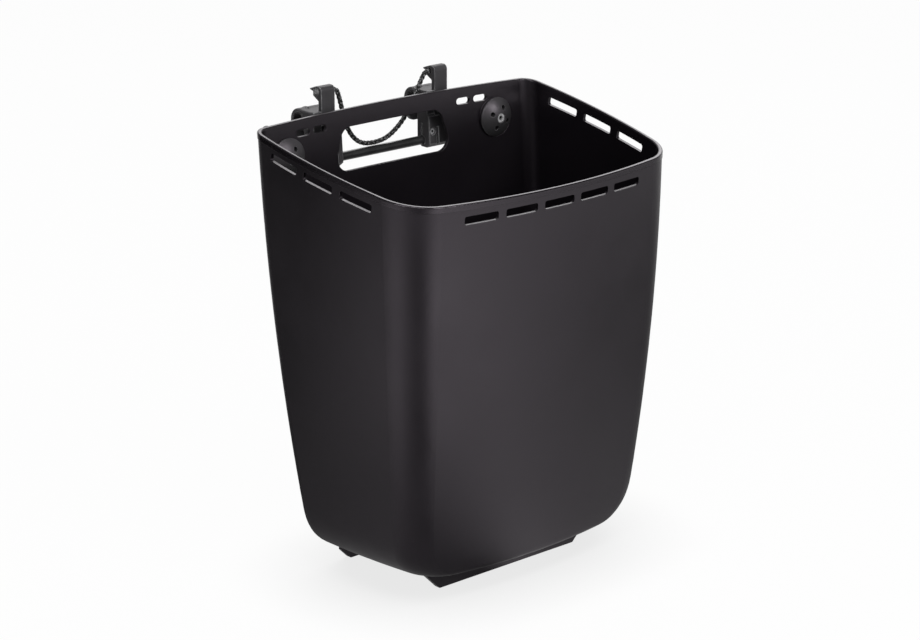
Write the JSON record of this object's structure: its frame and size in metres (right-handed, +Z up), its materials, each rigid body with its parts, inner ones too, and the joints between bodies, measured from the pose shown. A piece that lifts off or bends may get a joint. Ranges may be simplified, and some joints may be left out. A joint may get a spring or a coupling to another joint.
{
  "type": "bicycle pannier bucket",
  "caption": "Open hard-shell pannier bucket with strap slots and a hand slot, hung on a rack tube by quick-release hooks on a rail and unlocked by a pull rope.",
  "frame": {"origin": "on the floor, under the middle of the part's box", "axes": "+X along the rack, +Y from the bucket towards the rack, +Z up"},
  "size_m": [0.3196, 0.2531, 0.4027],
  "materials": {
    "bucket_plastic": "fine moulded texture",
    "hook_plastic": "moulded, slightly mottled",
    "washer_plastic": "smooth moulded",
    "liner_plastic": "smooth moulded",
    "rod_black": "gloss black",
    "steel": "plated",
    "rope_braid": "braided cord"
  },
  "bodies": {
    "bucket_and_rail": {"bucket": "bucket_plastic", "rail_rod": "rod_black", "rail_bracket_left": "hook_plastic", "rail_bracket_right": "hook_plastic", "dome_washer_left": "washer_plastic", "dome_washer_right": "washer_plastic", "bracket_bolts": "steel", "bracket_nuts": "steel", "hook_body_left": "hook_plastic", "hook_body_right": "hook_plastic", "tube_liner_left": "liner_plastic", "tube_liner_right": "liner_plastic", "clamp_screws": "steel", "clamp_nuts": "steel", "pawl_pin_left": "steel", "pawl_pin_right": "steel", "pawl_spring_left": "steel", "pawl_spring_right": "steel"},
    "rope": {"pull_rope": "rope_braid", "rope_knot_left": "rope_braid", "rope_knot_right": "rope_braid"},
    "slider_left": {"lock_slider_left": "hook_plastic"},
    "slider_right": {"lock_slider_right": "hook_plastic"},
    "pawl_left": {"lock_pawl_left": "hook_plastic"},
    "pawl_right": {"lock_pawl_right": "hook_plastic"}
  },
  "joints": [
    {"name": "rope_pull", "type": "slide", "parent": "bucket_and_rail", "child": "rope", "axis": [0, 0, 1], "range_m": [0, 0.003], "stiffness_N_per_m": 200, "springref_m": -0.01},
    {"name": "slider_left_lift", "type": "slide", "parent": "bucket_and_rail", "child": "slider_left", "axis": [0, 0, 1], "range_m": [0, 0.003]},
    {"name": "pawl_left_swing", "type": "hinge", "parent": "bucket_and_rail", "child": "pawl_left", "pos_m": [-0.0608, 0.1031, 0.3745], "axis": [-1, 0, 0], "range_deg": [0, 24]},
    {"name": "slider_right_lift", "type": "slide", "parent": "bucket_and_rail", "child": "slider_right", "axis": [0, 0, 1], "range_m": [0, 0.003]},
    {"name": "pawl_right_swing", "type": "hinge", "parent": "bucket_and_rail", "child": "pawl_right", "pos_m": [0.0667, 0.1031, 0.3745], "axis": [-1, 0, 0], "range_deg": [0, 24]}
  ],
  "couplings": [
    {"joint": "slider_left_lift", "follows": "rope_pull", "ratio": 1},
    {"joint": "pawl_left_swing", "follows": "rope_pull", "rad_per_m": 139.56},
    {"joint": "slider_right_lift", "follows": "rope_pull", "ratio": 1},
    {"joint": "pawl_right_swing", "follows": "rope_pull", "rad_per_m": 139.56}
  ]
}
